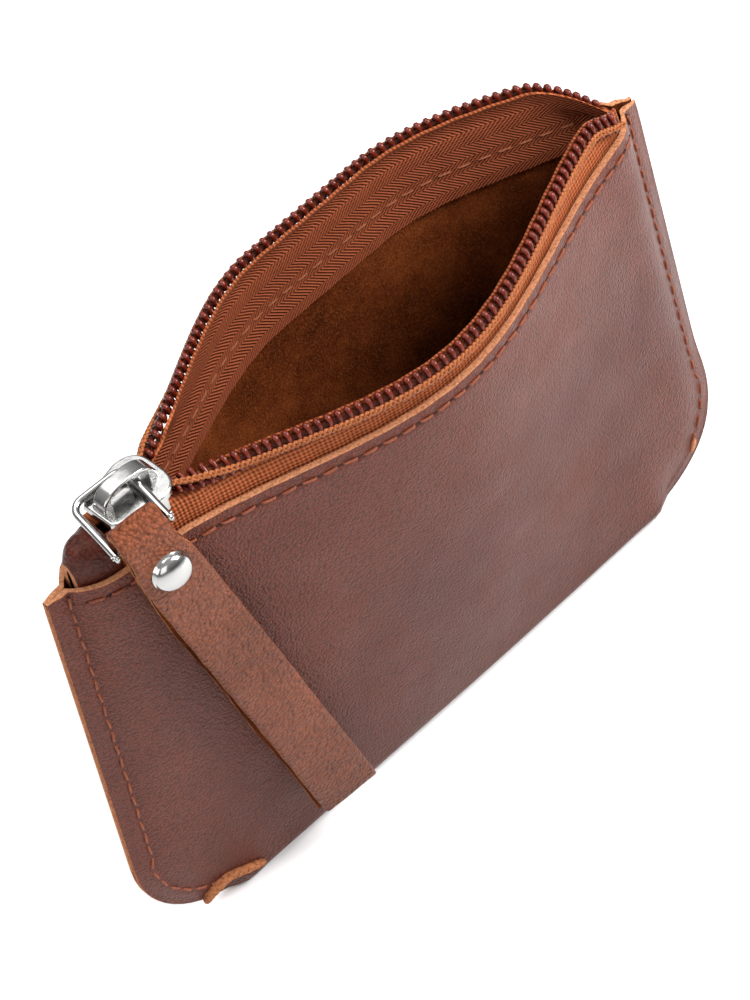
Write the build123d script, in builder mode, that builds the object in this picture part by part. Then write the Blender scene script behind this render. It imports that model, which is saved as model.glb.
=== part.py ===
"""Zippered leather pouch, standing on its bottom fold with its zip open.

Millimetres, +Z up to the zip, +X along the zip from its closed end to its open end, -Y the
front, the side that the pull strap hangs on. The origin is on the underside of the fold.

The mouth is described closed first. Each wall then leans out from the fold, by its full opening
at the widest part of the mouth and by a smaller share of it towards the side seams.
"""
from build123d import *
from math import cos, exp, hypot, pi, radians, sin, tan
import os

os.makedirs("parts", exist_ok=True)

# ---------------------------------------------------------------- driving dimensions
WIDTH = 120.0            # side seam to side seam at the bottom
MOUTH_WIDTH = 114.8      # side seam to side seam at the lips
HEIGHT = 80.0            # fold to lips
CORNER = 19.0            # radius of the bottom corners
LEATHER = 1.35           # thickness of the body leather
FLANGE = 3.6             # width of the flat sewn edge at the sides
FOLD_HALF = 2.3          # half distance between the walls' middles at the fold
FOLD_HALF_WIDTH, FOLD_ROUND = 3.1, 2.0     # half width and edge rounding of the fold
LIP_GAP = 2.4            # closed half gap of the leather lips at the middle
SPREAD_SLIDER_END = 2.6  # added to it at the slider's end
SPREAD_FAR_END = 1.1     # added to it at the far end
RISE_LOW, RISE_TOP = 6.0, 3.0   # how soon a wall leaves the seam, at the bottom and the lips

FRONT, BACK = -1, 1
OPENING = {FRONT: 14.6, BACK: 15.5}        # how far each lip moves out, zip open
OPEN_FROM = {FRONT: -45.0, BACK: -43.0}    # x where a wall starts to open, slider's end
FULL_FROM = {FRONT: 5.0, BACK: 0.0}        # x where it is fully open
FULL_TO = {FRONT: 5.0, BACK: 20.0}
OPEN_TO = {FRONT: 56.0, BACK: 61.0}        # x where the opening has died out again

# number 5 coil zip
TAPE = 0.56              # thickness of the tape
TAPE_BEHIND = 7.5        # tape sewn behind the leather, below the lip
SEWN_CLEARANCE = 0.25
COIL_WIDTH, COIL_THICK = 3.5, 2.0
COIL_EDGE = 0.9          # how far the coil reaches past the tape's edge
BRAID_WIDTH, BRAID_THICK = 1.1, 0.25
CHAIN_TOP = 87.0         # coil's tips
TIP_GAP = 0.25           # closed half gap of the tape at its tips
BACK_REST_GAP = 2.3      # gap that the curled far end of the back chain keeps

# slider
SLIDER_LEFT, SLIDER_RIGHT = -45.5, -33.7
PLATE = 1.1
CHANNEL_LOW, CHANNEL_HIGH = 83.0, 86.3
NOSE_HALF, WING_HALF = 3.6, 5.0
FLANGE_DROP = 2.2        # how far the top plate's flanges hang down
CROWN_WIDTH = 2.6
CROWN_LEFT, CROWN_RIGHT = -45.0, -35.4
CROWN_FOOT = 1.5
CROWN_THICK = 0.95
WINDOW = 2.3             # height of the gap under the crown

# pull ring, strap and rivet
WIRE = 1.1               # thickness of the ring's section
RING_PITCH = 9.0         # leg to leg
RING_LENGTH = 10.8       # bar to pin
RING_BEND = 2.4
PIN_CENTRE = (-44.1, -7.8, 87.6)
PIN_RADIUS = 0.35
PIN_TWIST, PIN_TILT = 8.0, 6.0     # the pin's right end stands forward and up
STRAP_WIDTH, STRAP_NECK = 9.3, 7.3
STRAP_LEATHER = 1.2
STRAP_LEAN = 7.0         # degrees that the strap leans from the pin's square
RIVET_RADIUS = 3.0
RIVET_DROP = 6.7         # pin to rivet along the strap
RIVET_POST = 1.0
RIVET_DOME = 1.7

STITCH_PITCH, STITCH_LENGTH, THREAD = 2.95, 2.3, 0.5
LIP_STITCH_DROP = 2.4    # lip to its stitch line
SEAM_STITCH_IN = 3.0     # side edge to its stitch line

STATIONS = [-54, -50, -45, -38, -30, -21, -9, 5, 20, 30, 39, 47, 51, 54]
TAPE_STATIONS = STATIONS[1:-1]
CHAIN_STATIONS = [-33, -28, -21, -9, 5, 20, 30, 39, 47, 51]


# ---------------------------------------------------------------- the shape of the walls
def smooth(t):
    t = min(max(t, 0.0), 1.0)
    return t * t * (3 - 2 * t)


def mix(a, b, t):
    return a + (b - a) * t


def share(x, side):
    """How much of its full opening the wall has at x."""
    if x < FULL_FROM[side]:
        return smooth((x - OPEN_FROM[side]) / (FULL_FROM[side] - OPEN_FROM[side]))
    if x > FULL_TO[side]:
        return smooth((OPEN_TO[side] - x) / (OPEN_TO[side] - FULL_TO[side]))
    return 1.0


def closed_gap(x, z, side):
    """Closed distance from the middle plane to the middle of the wall's leather."""
    spread = SPREAD_FAR_END if side == FRONT and x > FULL_TO[side] else SPREAD_SLIDER_END
    lip = LIP_GAP + spread * (1 - share(x, side))
    rise = mix(RISE_LOW, RISE_TOP, z / HEIGHT)
    inside = max(mix(WIDTH, MOUTH_WIDTH, z / HEIGHT) / 2 - abs(x) - FLANGE, 0.0)
    return mix(LEATHER / 2, mix(FOLD_HALF, lip, z / HEIGHT), 1 - exp(-inside / rise))


def wall_y(x, z, side, depth=0.0):
    """y of a wall with the zip open, depth outside the middle of its leather."""
    gap = max(closed_gap(x, min(z, HEIGHT), side) + depth, 0.05)
    return side * (gap + OPENING[side] * share(x, side) * z / HEIGHT)


def half_width(z):
    return mix(WIDTH, MOUTH_WIDTH, z / HEIGHT) / 2


def plan_face(z, front, back):
    """Face at height z between two rows of points that meet in short end lines."""
    with BuildSketch(Plane.XY.offset(z)) as plan:
        with BuildLine():
            Spline(*front)
            Spline(*back)
            Line(front[0], back[0])
            Line(front[-1], back[-1])
        make_face()
    return plan.sketch.face()


def walls_face(z, depth):
    rows = [[(x, wall_y(x, z, side, depth)) for x in STATIONS] for side in (FRONT, BACK)]
    return plan_face(z, *rows)


def outline(inset, top):
    """Front view of the body, inset from its side edges and open to the given height."""
    half_low, half_top = half_width(0) - inset, half_width(HEIGHT) - inset
    lean = (half_low - half_top) / HEIGHT
    half_up = half_low - lean * top
    radius = CORNER - inset
    with BuildSketch(Plane.XZ) as front_view:
        with BuildLine():
            Polyline((-half_low + radius, 0), (half_low - radius, 0))
            RadiusArc((half_low - radius, 0), (half_low - lean * radius, radius), -radius)
            Polyline((half_low - lean * radius, radius), (half_up, top), (-half_up, top),
                     (-half_low + lean * radius, radius))
            RadiusArc((-half_low + lean * radius, radius), (-half_low + radius, 0), -radius)
        make_face()
    return front_view.sketch


def fold_profile():
    """End view that rounds the bottom fold, leaves it a narrow flat and clears the walls."""
    with BuildSketch(Plane.YZ) as end_view:
        Polygon((-FOLD_HALF_WIDTH, 0), (-40, HEIGHT + 20), (40, HEIGHT + 20),
                (FOLD_HALF_WIDTH, 0), align=None)
        fillet(end_view.vertices().group_by(Axis.Y)[0], FOLD_ROUND)
    return end_view.sketch


# ---------------------------------------------------------------- leather body
with BuildPart() as cavity:
    loft([walls_face(LEATHER, -LEATHER / 2), walls_face(HEIGHT, -LEATHER / 2)], ruled=True)
    extrude(outline(FLANGE + 0.6, HEIGHT + 2), amount=40, both=True, mode=Mode.INTERSECT)

with BuildPart() as leather_body:
    loft([walls_face(0, LEATHER / 2), walls_face(HEIGHT, LEATHER / 2)], ruled=True)
    for end in (-1, 1):
        with BuildSketch(Plane.XZ):
            Polygon((end * 53.99, 0), (end * 61, 0), (end * 61, HEIGHT), (end * 53.99, HEIGHT),
                    align=None)
        extrude(amount=LEATHER, both=True)
    extrude(outline(0, HEIGHT + 2), amount=40, both=True, mode=Mode.INTERSECT)
    extrude(fold_profile(), amount=70, both=True, mode=Mode.INTERSECT)
    add(cavity.part, mode=Mode.SUBTRACT)
leather_body.part.label = "leather_body"
export_step(leather_body.part, "parts/leather_body.step")


# ---------------------------------------------------------------- zip tapes and coils
def chain_y(x, side, level):
    """y of the tape's middle above the lip: it leans in until the coil's tips nearly meet."""
    behind = LEATHER / 2 + SEWN_CLEARANCE + TAPE / 2
    lip = closed_gap(x, HEIGHT, side) - behind
    rest = BACK_REST_GAP * smooth((x - 20) / 25) if side == BACK else 0.0
    reach = (level - HEIGHT) / (CHAIN_TOP - HEIGHT)
    return side * (mix(lip, rest + TIP_GAP, reach)
                   + OPENING[side] * share(x, side) * level / HEIGHT)


def ribbon(stations, low, y_low, high, y_high, thickness, side):
    """A bent strip between two heights, thickness out from the given inner lines."""
    faces = []
    for z, y_at in ((low, y_low), (high, y_high)):
        inner = [(x, y_at(x)) for x in stations]
        outer = [(x, y + side * thickness) for x, y in inner]
        faces.append(plan_face(z, inner, outer))
    loft(faces, ruled=True)


def tape_face(z, side):
    """Level section of the tape, sewn behind the leather below the lip and free above it."""
    rows = []
    for out in (-TAPE / 2, TAPE / 2):
        if z > HEIGHT:
            row = [(x, chain_y(x, side, z) + side * out) for x in TAPE_STATIONS]
        else:
            behind = LEATHER / 2 + SEWN_CLEARANCE + TAPE / 2
            row = [(x, wall_y(x, z, side, out - behind)) for x in TAPE_STATIONS]
        rows.append(row)
    return plan_face(z, *rows)


def zip_side(side, name):
    with BuildPart() as tape:
        levels = (HEIGHT - TAPE_BEHIND, HEIGHT, CHAIN_TOP - COIL_EDGE)
        loft([tape_face(z, side) for z in levels], ruled=True)
        # the slider takes the place of the free tape at the closed end
        with Locations((CHAIN_STATIONS[0], 0, HEIGHT + 0.3)):
            Box(40, 40, 20, align=(Align.MAX, Align.CENTER, Align.MIN), mode=Mode.SUBTRACT)
    on_tape = side * (TAPE / 2 + 0.02)
    on_coil = on_tape + side * (COIL_THICK + 0.05)
    with BuildPart() as coil:
        low, high = CHAIN_TOP - COIL_WIDTH, CHAIN_TOP
        ribbon(CHAIN_STATIONS, low, lambda x: chain_y(x, side, low) + on_tape,
               high, lambda x: chain_y(x, side, high) + on_tape, COIL_THICK, side)
    with BuildPart() as braid:
        low = CHAIN_TOP - 0.66 * COIL_WIDTH
        high = low + BRAID_WIDTH
        ribbon(CHAIN_STATIONS, low, lambda x: chain_y(x, side, low) + on_coil,
               high, lambda x: chain_y(x, side, high) + on_coil, BRAID_THICK, side)
    for kind, solid in (("tape", tape), ("coil", coil), ("chain_braid", braid)):
        solid.part.label = f"{name}_{kind}"
        export_step(solid.part, f"parts/{name}_{kind}.step")


zip_side(FRONT, "front")
zip_side(BACK, "back")


# ---------------------------------------------------------------- stitching
def stitches(places):
    """Short threads, each laid from one point to the next in a pair."""
    with BuildPart() as row:
        for start, end in places:
            start, end = Vector(*start), Vector(*end)
            with BuildSketch(Plane(origin=start, z_dir=end - start)):
                Circle(THREAD / 2)
            extrude(amount=(end - start).length)
    return row.part


def lip_stitches(side):
    level = HEIGHT - LIP_STITCH_DROP
    reach = half_width(level) - SEAM_STITCH_IN - 2
    count = round(2 * reach / STITCH_PITCH)
    for i in range(count):
        x = -reach + (i + 0.5) * 2 * reach / count
        ends = (x - STITCH_LENGTH / 2, x + STITCH_LENGTH / 2)
        yield [(e, wall_y(e, level, side, LEATHER / 2), level) for e in ends]


def seam_place(s):
    """Place on the seam line, s down a side edge from the lip and round the corner."""
    inset = SEAM_STITCH_IN
    radius = CORNER - inset
    straight = HEIGHT - CORNER
    if s < straight:
        return half_width(HEIGHT - s) - inset, HEIGHT - s
    angle = (s - straight) / radius
    return half_width(0) - CORNER + radius * cos(angle), CORNER - radius * sin(angle)


def seam_stitches(end):
    length = HEIGHT - CORNER + (CORNER - SEAM_STITCH_IN) * pi / 2
    for i in range(int(length / STITCH_PITCH)):
        s = (i + 0.5) * STITCH_PITCH
        for side in (FRONT, BACK):
            yield [(end * x, wall_y(end * x, z, side, LEATHER / 2), z)
                   for x, z in (seam_place(s), seam_place(s + STITCH_LENGTH))]


for name, places in (
        ("front_lip_stitching", lip_stitches(FRONT)),
        ("back_lip_stitching", lip_stitches(BACK)),
        ("left_seam_stitching", seam_stitches(-1)),
        ("right_seam_stitching", seam_stitches(1))):
    thread = stitches(places)
    thread.label = name
    export_step(thread, f"parts/{name}.step")

# ---------------------------------------------------------------- tab over the zip's closed end
TAB_TOP, TAB_LEATHER, TAB_BEND = 85.3, 1.3, 2.4
TAB_RIGHT, TAB_LEFT, TAB_LOW = -46.2, -53.0, 80.3
with BuildPart() as zip_end_tab:
    with BuildSketch(Plane.XZ):
        with BuildLine():
            FilletPolyline((TAB_RIGHT, TAB_TOP), (TAB_LEFT, TAB_TOP), (TAB_LEFT, TAB_LOW),
                           radius=TAB_BEND)
            Line((TAB_LEFT, TAB_LOW), (TAB_LEFT + TAB_LEATHER, TAB_LOW))
            FilletPolyline((TAB_LEFT + TAB_LEATHER, TAB_LOW),
                           (TAB_LEFT + TAB_LEATHER, TAB_TOP - TAB_LEATHER),
                           (TAB_RIGHT, TAB_TOP - TAB_LEATHER), radius=TAB_BEND - TAB_LEATHER)
            Line((TAB_RIGHT, TAB_TOP - TAB_LEATHER), (TAB_RIGHT, TAB_TOP))
        make_face()
    extrude(amount=3.2, both=True)
zip_end_tab.part.label = "zip_end_tab"
export_step(zip_end_tab.part, "parts/zip_end_tab.step")

# ---------------------------------------------------------------- slider
slider_mid = (SLIDER_LEFT + SLIDER_RIGHT) / 2


def plate_plan(shrink):
    """Top view of a slider plate: square at the closed end, round wings at the mouth."""
    nose, wing = NOSE_HALF - shrink, WING_HALF - shrink
    with BuildSketch() as plan:
        with BuildLine():
            Polyline((SLIDER_RIGHT - 4.6, -wing), (SLIDER_LEFT + 0.8, -nose),
                     (SLIDER_LEFT, -nose + 0.8), (SLIDER_LEFT, nose - 0.8),
                     (SLIDER_LEFT + 0.8, nose), (SLIDER_RIGHT - 4.6, wing))
            Spline((SLIDER_RIGHT - 4.6, wing), (SLIDER_RIGHT - 0.9, wing - 2.0),
                   (SLIDER_RIGHT - 0.6, 0), (SLIDER_RIGHT - 0.9, -wing + 2.0),
                   (SLIDER_RIGHT - 4.6, -wing))
        make_face()
    return plan.sketch


with BuildPart() as slider_body:
    with Locations((0, 0, CHANNEL_LOW - PLATE)):
        add(extrude(plate_plan(0.7), amount=PLATE, mode=Mode.PRIVATE))
    with Locations((0, 0, CHANNEL_HIGH)):
        add(extrude(plate_plan(0), amount=PLATE, mode=Mode.PRIVATE))
    # flanges that hang from the top plate and hold the coils in
    for side in (FRONT, BACK):
        with BuildSketch(Plane.XY.offset(CHANNEL_HIGH)):
            with BuildLine():
                Polyline((SLIDER_LEFT + 0.9, side * (NOSE_HALF - 0.08)),
                         (SLIDER_RIGHT - 4.6, side * (WING_HALF - 0.05)),
                         (SLIDER_RIGHT - 3.2, side * (WING_HALF - 0.35)),
                         (SLIDER_RIGHT - 3.2, side * (WING_HALF - 0.72)),
                         (SLIDER_RIGHT - 4.6, side * (WING_HALF - 0.62)),
                         (SLIDER_LEFT + 0.9, side * (NOSE_HALF - 0.55)), close=True)
            make_face()
        extrude(amount=-FLANGE_DROP)
    # post between the plates that parts the chains
    with BuildSketch(Plane.XY.offset(CHANNEL_LOW)):
        with BuildLine():
            Polyline((SLIDER_RIGHT - 3.6, 0), (SLIDER_RIGHT - 1.9, -0.75), (SLIDER_RIGHT - 1.0, 0),
                     (SLIDER_RIGHT - 1.9, 0.75), close=True)
        make_face()
    extrude(amount=CHANNEL_HIGH - CHANNEL_LOW)
    top_rim = slider_body.edges().group_by(Axis.Z)[-1]
    fillet(top_rim, 0.35)
slider_body.part.label = "slider_body"
export_step(slider_body.part, "parts/slider_body.step")

plate_top = CHANNEL_HIGH + PLATE
crown_top = plate_top + WINDOW + CROWN_THICK
with BuildPart() as slider_crown:
    with BuildSketch(Plane.XZ):
        with BuildLine():
            Polyline((CROWN_LEFT, plate_top), (CROWN_LEFT, plate_top + 0.9))
            Spline((CROWN_LEFT, plate_top + 0.9), (CROWN_LEFT + 2.0, crown_top - 0.3),
                   (slider_mid - 0.4, crown_top), (CROWN_RIGHT - 1.9, crown_top - 0.4),
                   (CROWN_RIGHT, plate_top + 0.8))
            Polyline((CROWN_RIGHT, plate_top + 0.8), (CROWN_RIGHT, plate_top),
                     (CROWN_LEFT, plate_top))
        make_face()
    extrude(amount=CROWN_WIDTH / 2, both=True)
    rim = slider_crown.edges().filter_by(GeomType.BSPLINE)
    fillet(rim, 0.3)
    with BuildSketch(Plane.XZ):
        with Locations(((CROWN_LEFT + CROWN_RIGHT) / 2 + 0.1, plate_top + WINDOW / 2)):
            RectangleRounded(CROWN_RIGHT - CROWN_LEFT - 2 * CROWN_FOOT + 0.2, WINDOW, 0.6)
        with Locations(((CROWN_LEFT + CROWN_RIGHT) / 2 + 0.1, plate_top + 0.3)):
            Rectangle(CROWN_RIGHT - CROWN_LEFT - 2 * CROWN_FOOT + 0.2, 0.6)
    extrude(amount=5, both=True, mode=Mode.SUBTRACT)
slider_crown.part.label = "slider_crown"
export_step(slider_crown.part, "parts/slider_crown.step")

# ---------------------------------------------------------------- pull ring and its pin
pin_axis = Vector(1, -tan(radians(PIN_TWIST)), tan(radians(PIN_TILT))).normalized()
ring_back = (Vector(0, 1, 0.06) - pin_axis * Vector(0, 1, 0.06).dot(pin_axis)).normalized()
pin_centre = Vector(*PIN_CENTRE)
RING_PLANE = Plane(origin=pin_centre, x_dir=pin_axis, z_dir=pin_axis.cross(ring_back))
half_pitch = RING_PITCH / 2

with BuildPart() as pull_ring:
    with BuildSketch(RING_PLANE):
        with BuildLine():
            outer = half_pitch + WIRE / 2
            FilletPolyline((-outer, -0.9), (-outer, RING_LENGTH + WIRE / 2),
                           (outer, RING_LENGTH + WIRE / 2), (outer, -0.9),
                           radius=RING_BEND)
            Line((outer, -0.9), (-outer, -0.9))
        make_face()
        with BuildLine():
            inner = half_pitch - WIRE / 2
            FilletPolyline((-inner, -2), (-inner, RING_LENGTH - WIRE / 2),
                           (inner, RING_LENGTH - WIRE / 2), (inner, -2),
                           radius=RING_BEND - WIRE)
            Line((inner, -2), (-inner, -2))
        make_face(mode=Mode.SUBTRACT)
    extrude(amount=WIRE / 2, both=True)
    fillet(pull_ring.edges().filter_by(lambda e: e.length > 2.5), 0.22)
    with BuildSketch(Plane(origin=pin_centre - pin_axis * 6, z_dir=pin_axis)):
        Circle(PIN_RADIUS)
    extrude(amount=12, mode=Mode.SUBTRACT)
pull_ring.part.label = "pull_ring"
export_step(pull_ring.part, "parts/pull_ring.step")

with BuildPart() as ring_pin:
    with BuildSketch(Plane(origin=pin_centre - pin_axis * (half_pitch + WIRE / 2 + 0.12),
                           z_dir=pin_axis)):
        Circle(PIN_RADIUS)
    extrude(amount=RING_PITCH + WIRE + 0.24)
ring_pin.part.label = "ring_pin"
export_step(ring_pin.part, "parts/ring_pin.step")

# ---------------------------------------------------------------- pull strap
# The strap's own plane: x along the pin, y up the strap, z out of its front.
strap_up = Vector(-sin(radians(13.0)), 0, cos(radians(13.0)))
strap_up = (strap_up - pin_axis * strap_up.dot(pin_axis)).normalized()
STRAP_PLANE = Plane(origin=pin_centre, x_dir=pin_axis, z_dir=pin_axis.cross(strap_up))
SIDE_PLANE = Plane(origin=pin_centre, x_dir=STRAP_PLANE.z_dir, z_dir=-pin_axis)
# Middle line in side view: out of the strap's front, up the strap.
# Each point: outward, up, half the gap between the two layers.
middle = [(-1.0, 1.2, 0.5), (0.0, 0.0, 0.6), (0.8, -3.0, 0.3), (1.15, -RIVET_DROP, 0.05),
          (1.3, -14, 0.1), (1.3, -35, 0.25), (0.8, -58, 0.15), (-0.1, -79.0, 0.08)]


def layer_ring(thickness):
    """Both faces of the flattened loop, thickness outside the gap in it."""
    front, back = [], []
    for i, (n, u, gap) in enumerate(middle):
        before, after = middle[max(i - 1, 0)], middle[min(i + 1, len(middle) - 1)]
        dn, du = after[0] - before[0], after[1] - before[1]
        size = hypot(dn, du)
        dn, du = dn / size, du / size
        reach = gap + thickness
        front.append((n - du * reach, u + dn * reach))
        back.append((n + du * reach, u - dn * reach))
        if i == 0:
            top = (n - dn * reach, u - du * reach)
        bottom = (n + dn * reach, u + du * reach)
    Polyline(*front)
    Polyline(*back)
    ThreePointArc(front[0], top, back[0])
    ThreePointArc(front[-1], bottom, back[-1])


rivet_place = STRAP_PLANE.from_local_coords(
    (RIVET_DROP * tan(radians(STRAP_LEAN)), -RIVET_DROP, middle[3][0]))
RIVET_PLANE = Plane(origin=rivet_place, x_dir=STRAP_PLANE.x_dir, z_dir=STRAP_PLANE.z_dir)


strap_outline = []
for x, u in ((-STRAP_NECK / 2, 5), (-STRAP_NECK / 2, -1), (-STRAP_WIDTH / 2, -6.5),
             (-STRAP_WIDTH / 2, -90), (STRAP_WIDTH / 2, -90), (STRAP_WIDTH / 2, -6.5),
             (STRAP_NECK / 2, -1), (STRAP_NECK / 2, 5)):
    strap_outline.append((x - min(u, 0) * tan(radians(STRAP_LEAN)), u))

with BuildPart() as pull_strap:
    with BuildSketch(SIDE_PLANE):
        with BuildLine():
            layer_ring(STRAP_LEATHER)
        make_face()
        with BuildLine():
            layer_ring(0)
        make_face(mode=Mode.SUBTRACT)
    extrude(amount=25, both=True)
    with BuildSketch(STRAP_PLANE):
        Polygon(*strap_outline, align=None)
    extrude(amount=12, both=True, mode=Mode.INTERSECT)
    with BuildSketch(RIVET_PLANE):
        Circle(RIVET_POST)
    extrude(amount=6, both=True, mode=Mode.SUBTRACT)
pull_strap.part.label = "pull_strap"
export_step(pull_strap.part, "parts/pull_strap.step")

cap_rise = STRAP_LEATHER + 0.16
with BuildPart() as rivet_cap:
    with BuildSketch(Plane(origin=RIVET_PLANE.origin, x_dir=RIVET_PLANE.x_dir,
                           z_dir=-RIVET_PLANE.y_dir)):
        with BuildLine():
            Polyline((0, cap_rise + RIVET_DOME), (0, cap_rise), (RIVET_RADIUS, cap_rise),
                     (RIVET_RADIUS, cap_rise + 0.25))
            Spline((RIVET_RADIUS, cap_rise + 0.25), (0, cap_rise + RIVET_DOME),
                   tangents=((-0.2, 1), (-1, 0)))
        make_face()
    revolve(axis=Axis(RIVET_PLANE.origin, RIVET_PLANE.z_dir))
rivet_cap.part.label = "rivet_cap"
export_step(rivet_cap.part, "parts/rivet_cap.step")

with BuildPart() as rivet_post:
    with BuildSketch(RIVET_PLANE.offset(-cap_rise - 0.35)):
        Circle(RIVET_RADIUS - 0.4)
    extrude(amount=0.35)
    with BuildSketch(RIVET_PLANE.offset(-cap_rise)):
        Circle(RIVET_POST)
    extrude(amount=2 * cap_rise)
rivet_post.part.label = "rivet_post"
export_step(rivet_post.part, "parts/rivet_post.step")
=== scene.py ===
"""Looks of a zippered leather pouch: leather, zip, stitching, pull strap and studio light.

Built in millimetres in the row's frame (+X along the zip, -Y the front, +Z up) and turned into
metres as each mesh is made.
"""

import bpy
from math import cos, exp, hypot, pi, radians, sin, sqrt, tan
from mathutils import Matrix, Vector


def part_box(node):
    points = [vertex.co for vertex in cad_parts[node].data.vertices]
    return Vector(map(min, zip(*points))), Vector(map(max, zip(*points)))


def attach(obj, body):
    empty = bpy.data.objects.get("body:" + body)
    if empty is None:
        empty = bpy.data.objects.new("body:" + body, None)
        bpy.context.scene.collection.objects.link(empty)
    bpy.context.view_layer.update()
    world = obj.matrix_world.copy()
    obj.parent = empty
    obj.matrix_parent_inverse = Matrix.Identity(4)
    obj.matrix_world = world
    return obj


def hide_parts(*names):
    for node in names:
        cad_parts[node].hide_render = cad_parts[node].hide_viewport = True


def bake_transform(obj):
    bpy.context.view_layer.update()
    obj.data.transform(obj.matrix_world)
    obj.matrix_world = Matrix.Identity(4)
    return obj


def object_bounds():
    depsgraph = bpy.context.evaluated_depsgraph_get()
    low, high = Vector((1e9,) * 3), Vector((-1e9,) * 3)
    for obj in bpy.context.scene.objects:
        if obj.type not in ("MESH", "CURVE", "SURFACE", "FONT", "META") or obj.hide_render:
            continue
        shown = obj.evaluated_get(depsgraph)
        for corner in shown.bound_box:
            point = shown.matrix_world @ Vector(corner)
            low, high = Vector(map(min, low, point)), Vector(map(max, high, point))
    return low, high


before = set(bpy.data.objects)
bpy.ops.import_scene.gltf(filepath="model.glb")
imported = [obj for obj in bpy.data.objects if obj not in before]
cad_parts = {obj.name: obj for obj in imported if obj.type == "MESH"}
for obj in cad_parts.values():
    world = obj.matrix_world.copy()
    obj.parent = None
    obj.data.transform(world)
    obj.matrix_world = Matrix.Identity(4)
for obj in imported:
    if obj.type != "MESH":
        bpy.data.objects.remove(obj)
size_before = [list(corner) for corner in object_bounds()]

FRONT, BACK = -1, 1
WORDS = {FRONT: "front", BACK: "back"}
ENDS = {True: "left", False: "right"}
# each wall, tape, coil and row of stitches is made in four parts: side, and whether it is the left
PARTS = [(side, low_half) for side in (FRONT, BACK) for low_half in (True, False)]


def box_mm(node):
    low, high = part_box(node)
    return [v * 1000 for v in low], [v * 1000 for v in high]


# ---------------------------------------------------------------- driving sizes, mm
HEIGHT = box_mm("leather_body")[1][2]
WIDTH = 120.0
MOUTH_WIDTH = 114.8
CORNER = 19.0
LEATHER = 1.35
FLANGE = 3.6
FOLD_HALF = 2.3
LIP_GAP = 2.4
SPREAD_SLIDER_END, SPREAD_FAR_END = 2.6, 1.1
RISE_LOW, RISE_TOP, RISE_FAR = 6.0, 3.0, 1.7
OPENING = {FRONT: 14.6, BACK: 15.5}
OPEN_FROM = {FRONT: -45.0, BACK: -43.0}
FULL_FROM = {FRONT: 5.0, BACK: 0.0}
FULL_TO = {FRONT: 5.0, BACK: 20.0}
OPEN_TO = {FRONT: 56.0, BACK: 61.0}
SPLIT = {FRONT: 5.0, BACK: 10.0}
BELLY = 1.3
TAPE = 0.5
SEWN = LEATHER / 2 + 0.25 + 0.28
PITCH = 1.5
LIP_STITCH_LEVEL = HEIGHT - 2.4
SEAM_STITCH_IN = 3.0
EDGE_THIN = 0.45                # thickness left at the sewn edges, as a share
LIP_THIN = 0.66                 # thickness left outside the middle at the lips, as a share
FLANGE_BEND_LOW, FLANGE_BEND_TOP = 2.8, 1.4
CORNER_WORN = 1.5
STRAP_HALF, NECK_HALF = 4.65, 3.85
STRAP_LEATHER = 1.2
BACK_LAYER_OUT = 0.42           # how far the strap's back layer sticks out at the left
STRAP_LEAN = 7.0                # degrees that the strap leans from the pin's square
RIVET_DROP = 6.7                # pin to rivet along the strap
RIVET_TIP = 9.0                 # degrees that the cap is tipped
RING_HALF, RING_REACH, RING_BEND, WIRE = 4.5, 10.8, 1.9, 0.57


# ---------------------------------------------------------------- helpers
def smooth(t):
    t = min(max(t, 0.0), 1.0)
    return t * t * (3 - 2 * t)


def mix(a, b, t):
    return a + (b - a) * t


def lerp(a, b, t):
    return tuple(mix(p, q, t) for p, q in zip(a, b))


def unit(a, b):
    size = hypot(a, b)
    return a / size, b / size


def span(a, b, n):
    return [mix(a, b, i / (n - 1)) for i in range(n)]


def placed(name, data):
    """Object of the data, in the scene."""
    made = bpy.data.objects.new(name, data)
    bpy.context.scene.collection.objects.link(made)
    return made


def build(name, verts, faces, materials, face_materials, normals=None):
    """Mesh object from millimetre points, which keeps each point's place at rest for its look."""
    mesh = bpy.data.meshes.new(name)
    mesh.from_pydata([(x / 1000, y / 1000, z / 1000) for x, y, z in verts], [], faces)
    for material in materials:
        mesh.materials.append(material)
    mesh.polygons.foreach_set("material_index", face_materials)
    mesh.polygons.foreach_set("use_smooth", [True] * len(mesh.polygons))
    rest = mesh.attributes.new("rest", "FLOAT_VECTOR", "POINT")
    rest.data.foreach_set("vector", [c for v in verts for c in v])
    mesh.validate()
    mesh.update()
    if normals:
        mesh.normals_split_custom_set_from_vertices(normals)
    return placed(name, mesh)


class Mesher:
    """Collects points and faces of several forms into one mesh."""

    def __init__(self):
        self.verts, self.faces, self.kinds = [], [], []

    def add(self, verts, faces, kind):
        base = len(self.verts)
        self.verts += verts
        self.faces += [tuple(i + base for i in f) for f in faces]
        self.kinds += [kind] * len(faces)

    def rows(self, rows, kind=0, closed=False, caps=False):
        """Skin over rows of points; closed joins the end of each row to its start."""
        n = len(rows[0])
        faces = []
        for i in range(len(rows) - 1):
            for j in range(n if closed else n - 1):
                k = (j + 1) % n
                faces.append((i * n + j, i * n + k, (i + 1) * n + k, (i + 1) * n + j))
        if caps:
            faces.append(tuple(reversed(range(n))))
            faces.append(tuple((len(rows) - 1) * n + j for j in range(n)))
        self.add([p for row in rows for p in row], faces, kind)

    def rim(self, rows, other_rows, kind, way=1):
        """Strips that close the four edges between two matching sheets."""
        for j, order in ((0, -way), (-1, way)):
            self.rows([(a[j], b[j])[::order] for a, b in zip(rows, other_rows)], kind)
        for i, order in ((0, way), (-1, -way)):
            self.rows([pair[::order] for pair in zip(rows[i], other_rows[i])], kind)

    def make(self, name, materials):
        return build(name, self.verts, self.faces, materials, self.kinds)


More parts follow.
